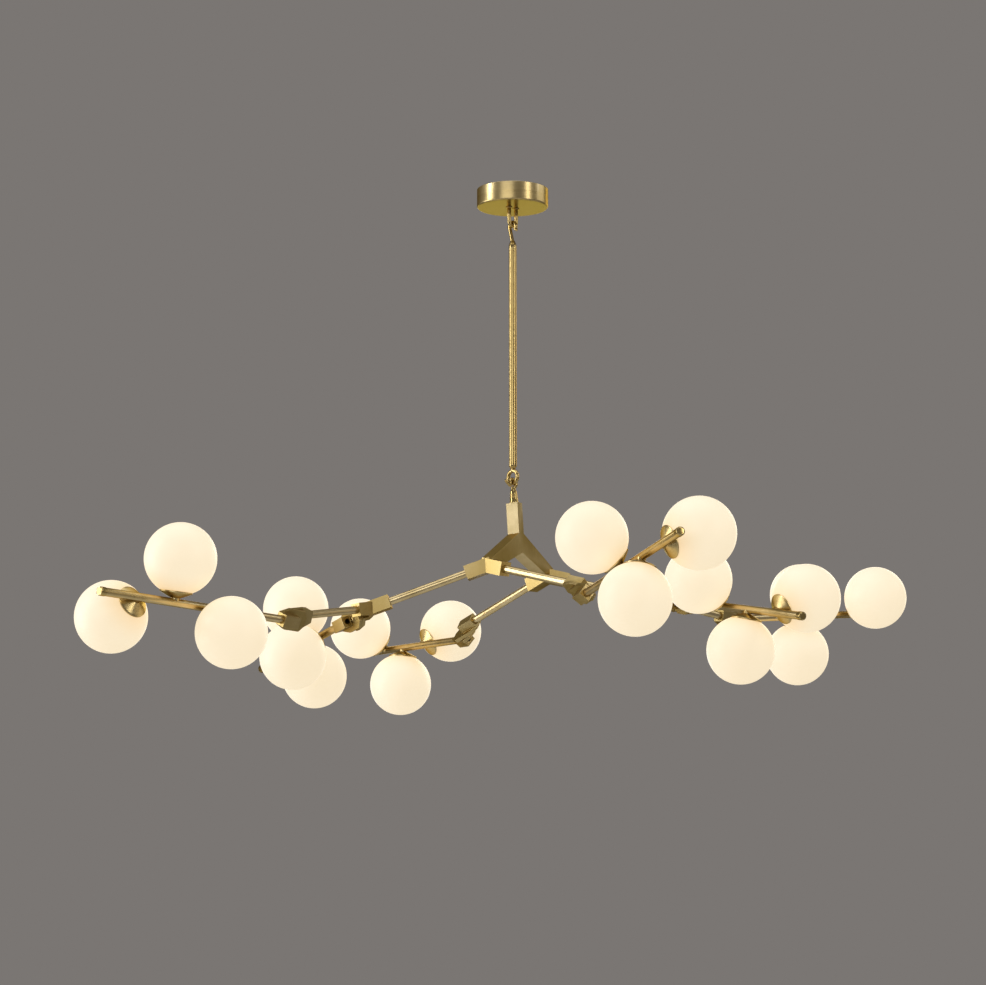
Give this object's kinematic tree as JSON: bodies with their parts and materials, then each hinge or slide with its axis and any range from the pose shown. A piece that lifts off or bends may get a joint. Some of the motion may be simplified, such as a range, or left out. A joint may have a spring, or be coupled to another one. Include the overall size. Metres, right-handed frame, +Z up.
{
  "type": "branch chandelier",
  "caption": "Branching pendant chandelier: canopy, hooked drop rod, forked hub and pivoting brass branches that carry opal glass globes",
  "frame": {"origin": "centre of the ceiling face, between the two ceiling screws", "axes": "+Z up, square to the ceiling; +X along the ceiling bracket, to the right in the picture; +Y away from the picture's viewer"},
  "size_m": [1.4877, 1.3096, 0.9408],
  "materials": {
    "satin_brass": "satin, finely brushed",
    "zinc_steel": "zinc plated",
    "white_plastic": "matte",
    "opal_glass": "satin opal, lit from inside",
    "ceramic": "unglazed"
  },
  "bodies": {
    "ceiling": {"canopy": "satin_brass", "ceiling_bracket": "zinc_steel", "canopy_loop": "satin_brass", "terminal_block": "white_plastic"},
    "rod": {"drop_rod": "satin_brass", "rod_hook": "satin_brass", "rod_eye": "satin_brass"},
    "frame": {"hub_hook": "satin_brass", "hub": "satin_brass", "arm_a": "satin_brass", "arm_b": "satin_brass", "arm_c": "satin_brass", "arm_d": "satin_brass", "junction_a": "satin_brass", "junction_d": "satin_brass", "link_rods": "satin_brass", "knuckle_sockets": "satin_brass", "pivot_screws": "satin_brass"},
    "branch_a1": {"tube_a1": "satin_brass", "knuckle_a1": "satin_brass", "cups_a1": "satin_brass", "lamps_a1": "ceramic", "globe_a1_1": "opal_glass", "globe_a1_2": "opal_glass", "globe_a1_3": "opal_glass"},
    "branch_a2": {"tube_a2": "satin_brass", "knuckle_a2": "satin_brass", "cups_a2": "satin_brass", "lamps_a2": "ceramic", "globe_a2_1": "opal_glass", "globe_a2_2": "opal_glass", "globe_a2_3": "opal_glass"},
    "branch_b": {"tube_b": "satin_brass", "knuckle_b": "satin_brass", "cups_b": "satin_brass", "lamps_b": "ceramic", "globe_b_1": "opal_glass", "globe_b_2": "opal_glass", "globe_b_3": "opal_glass"},
    "branch_c": {"tube_c": "satin_brass", "knuckle_c": "satin_brass", "cups_c": "satin_brass", "lamps_c": "ceramic", "globe_c_1": "opal_glass", "globe_c_2": "opal_glass", "globe_c_3": "opal_glass"},
    "branch_d1": {"tube_d1": "satin_brass", "knuckle_d1": "satin_brass", "cups_d1": "satin_brass", "lamps_d1": "ceramic", "globe_d1_1": "opal_glass", "globe_d1_2": "opal_glass", "globe_d1_3": "opal_glass"},
    "branch_d2": {"tube_d2": "satin_brass", "knuckle_d2": "satin_brass", "cups_d2": "satin_brass", "lamps_d2": "ceramic", "globe_d2_1": "opal_glass", "globe_d2_2": "opal_glass", "globe_d2_3": "opal_glass"}
  },
  "joints": [
    {"name": "rod_swing", "type": "hinge", "parent": "ceiling", "child": "rod", "pos_m": [0, 0, -0.0685], "axis": [0.7071, 0.7071, 0], "range_deg": [-25, 25]},
    {"name": "frame_swing", "type": "hinge", "parent": "rod", "child": "frame", "pos_m": [0, 0, -0.5465], "axis": [0.7071, -0.7071, 0], "range_deg": [-25, 25]},
    {"name": "knuckle_a1_turn", "type": "hinge", "parent": "frame", "child": "branch_a1", "pos_m": [-0.37829, -0.20679, -0.81489], "axis": [-0.6696, 0.6117, 0.4212], "range_deg": [-45, 45]},
    {"name": "knuckle_a2_turn", "type": "hinge", "parent": "frame", "child": "branch_a2", "pos_m": [-0.28154, -0.04474, -0.79772], "axis": [0.7827, 0.5549, 0.2821], "range_deg": [-40, 40]},
    {"name": "knuckle_b_turn", "type": "hinge", "parent": "frame", "child": "branch_b", "pos_m": [0.11661, -0.24964, -0.77332], "axis": [0.5457, 0.3049, 0.7805], "range_deg": [-40, 40]},
    {"name": "knuckle_c_turn", "type": "hinge", "parent": "frame", "child": "branch_c", "pos_m": [-0.08911, 0.23684, -0.79794], "axis": [-0.6834, -0.3721, 0.6281], "range_deg": [-40, 40]},
    {"name": "knuckle_d1_turn", "type": "hinge", "parent": "frame", "child": "branch_d1", "pos_m": [0.30858, 0.02983, -0.76168], "axis": [-0.8624, -0.4717, -0.1839], "range_deg": [-40, 40]},
    {"name": "knuckle_d2_turn", "type": "hinge", "parent": "frame", "child": "branch_d2", "pos_m": [0.40586, 0.19379, -0.77461], "axis": [0.6665, -0.7379, -0.1063], "range_deg": [-45, 45]}
  ]
}
